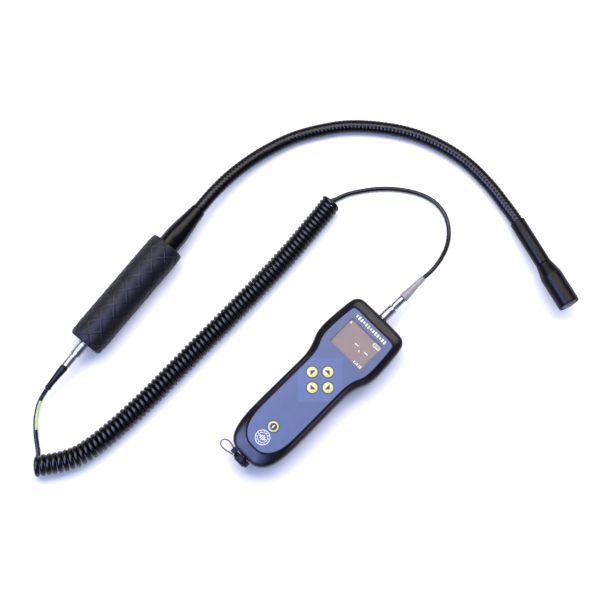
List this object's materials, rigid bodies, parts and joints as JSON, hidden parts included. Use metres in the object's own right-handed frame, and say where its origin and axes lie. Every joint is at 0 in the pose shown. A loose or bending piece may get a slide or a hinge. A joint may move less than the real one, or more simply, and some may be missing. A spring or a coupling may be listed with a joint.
{
  "type": "ultrasonic leak detector",
  "caption": "Hand-held leak detector: a meter with display and keypad, a curly cable and a gooseneck listening probe with a rubber grip.",
  "frame": {"origin": "centre of the meter's flat back face, on the surface that everything lies on", "axes": "+Z out of the meter's display, +Y along the meter towards its probe connector, +X to the right of the display"},
  "size_m": [0.4063, 0.623, 0.044],
  "materials": {
    "case_black": "moulded satin black ABS",
    "seal_grey": "moulded silicone",
    "overlay_blue": "printed blue polyester film",
    "key_yellow": "pale yellow keys with dark marks",
    "display_lens": "clear lens",
    "display_panel": "unlit liquid crystal panel",
    "circuit_green": "glass-fibre circuit board",
    "cell_wrap": "shrink-wrapped cells",
    "spacer_brass": "turned brass",
    "screw_steel": "zinc-plated steel",
    "plug_chrome": "satin chrome plate",
    "boot_clear": "translucent flexible boot",
    "cable_black": "black polyurethane cable jacket",
    "marker_green": "yellow-green marker sleeve",
    "cap_rubber": "moulded black rubber",
    "grip_rubber": "black rubber with raised diamonds",
    "tube_aluminium": "drawn tube",
    "head_black": "black anodised",
    "neck_black": "black sheathed gooseneck",
    "grille_steel": "perforated disc"
  },
  "bodies": {
    "root": {"front_shell": "case_black", "rear_shell": "case_black", "lanyard_lug": "case_black", "rear_end_cap": "case_black", "case_seal": "seal_grey", "key_mat": "seal_grey", "keypad_overlay": "overlay_blue", "lcd_window": "display_lens", "lcd_module": "display_panel", "main_board": "circuit_green", "preamp_board": "circuit_green", "battery_pack": "cell_wrap", "board_spacer_1": "spacer_brass", "board_spacer_2": "spacer_brass", "board_spacer_3": "spacer_brass", "board_spacer_4": "spacer_brass", "case_screw_1": "screw_steel", "case_screw_2": "screw_steel", "case_screw_3": "screw_steel", "case_screw_4": "screw_steel", "socket_nut": "screw_steel", "cap_lanyard": "screw_steel", "meter_socket": "plug_chrome", "charge_socket": "plug_chrome", "handle_socket": "plug_chrome", "meter_plug_body": "plug_chrome", "handle_plug_body": "plug_chrome", "meter_plug_boot": "boot_clear", "lead_meter_side": "cable_black", "curly_coil": "cable_black", "lead_handle_side": "cable_black", "handle_plug_boot": "cable_black", "marker_sleeve": "marker_green", "grip_sleeve": "grip_rubber", "core_tube": "tube_aluminium", "front_cone": "head_black", "neck_base": "neck_black"},
    "key_up": {"key_up": "key_yellow"},
    "key_down": {"key_down": "key_yellow"},
    "key_left": {"key_left": "key_yellow"},
    "key_right": {"key_right": "key_yellow"},
    "key_power": {"key_power": "key_yellow"},
    "meter_plug_sleeve": {"meter_plug_sleeve": "plug_chrome"},
    "handle_plug_sleeve": {"handle_plug_sleeve": "plug_chrome"},
    "socket_cap": {"socket_cap": "cap_rubber"},
    "neck_link_1": {"neck_link_1": "neck_black"},
    "neck_link_2": {"neck_link_2": "neck_black"},
    "neck_link_3": {"neck_link_3": "neck_black"},
    "neck_link_4": {"neck_link_4": "neck_black"},
    "neck_link_5": {"neck_link_5": "neck_black"},
    "neck_link_6": {"neck_link_6": "neck_black", "tip_sleeve": "head_black", "sensor_head": "head_black", "sensor_grille": "grille_steel", "transducer": "tube_aluminium", "damping_ring": "seal_grey"}
  },
  "joints": [
    {"name": "key_up_press", "type": "slide", "parent": "root", "child": "key_up", "axis": [0, 0, -1], "range_m": [0, 0.0008], "stiffness_N_per_m": 700},
    {"name": "key_down_press", "type": "slide", "parent": "root", "child": "key_down", "axis": [0, 0, -1], "range_m": [0, 0.0008], "stiffness_N_per_m": 700},
    {"name": "key_left_press", "type": "slide", "parent": "root", "child": "key_left", "axis": [0, 0, -1], "range_m": [0, 0.0008], "stiffness_N_per_m": 700},
    {"name": "key_right_press", "type": "slide", "parent": "root", "child": "key_right", "axis": [0, 0, -1], "range_m": [0, 0.0008], "stiffness_N_per_m": 700},
    {"name": "key_power_press", "type": "slide", "parent": "root", "child": "key_power", "axis": [0, 0, -1], "range_m": [0, 0.0008], "stiffness_N_per_m": 700},
    {"name": "meter_plug_release", "type": "slide", "parent": "root", "child": "meter_plug_sleeve", "axis": [0, 1, 0], "range_m": [0, 0.0015], "stiffness_N_per_m": 900},
    {"name": "handle_plug_release", "type": "slide", "parent": "root", "child": "handle_plug_sleeve", "axis": [0.0958, -0.9954, 0], "range_m": [0, 0.0015], "stiffness_N_per_m": 900},
    {"name": "cap_pull", "type": "slide", "parent": "root", "child": "socket_cap", "axis": [0, -1, 0], "range_m": [0, 0.008]},
    {"name": "neck_swing_1", "type": "hinge", "parent": "root", "child": "neck_link_1", "pos_m": [-0.24725, 0.08489, 0.02056], "axis": [0, 0, 1], "range_deg": [-6, 35]},
    {"name": "neck_lift_1", "type": "hinge", "parent": "neck_link_1", "child": "neck_link_2", "pos_m": [-0.24061, 0.16172, 0.01091], "axis": [0.9721, -0.2346, 0], "range_deg": [0, 30]},
    {"name": "neck_swing_2", "type": "hinge", "parent": "neck_link_2", "child": "neck_link_3", "pos_m": [-0.20892, 0.23234, 0.00806], "axis": [0, 0, 1], "range_deg": [-8, 35]},
    {"name": "neck_lift_2", "type": "hinge", "parent": "neck_link_3", "child": "neck_link_4", "pos_m": [-0.15386, 0.28691, 0.0081], "axis": [0.5789, -0.8154, 0], "range_deg": [0, 30]},
    {"name": "neck_swing_3", "type": "hinge", "parent": "neck_link_4", "child": "neck_link_5", "pos_m": [-0.08289, 0.3179, 0.00809], "axis": [0, 0, 1], "range_deg": [-12, 35]},
    {"name": "neck_lift_3", "type": "hinge", "parent": "neck_link_5", "child": "neck_link_6", "pos_m": [-0.00537, 0.31804, 0.00896], "axis": [-0.17, -0.9855, 0], "range_deg": [0, 30]}
  ]
}
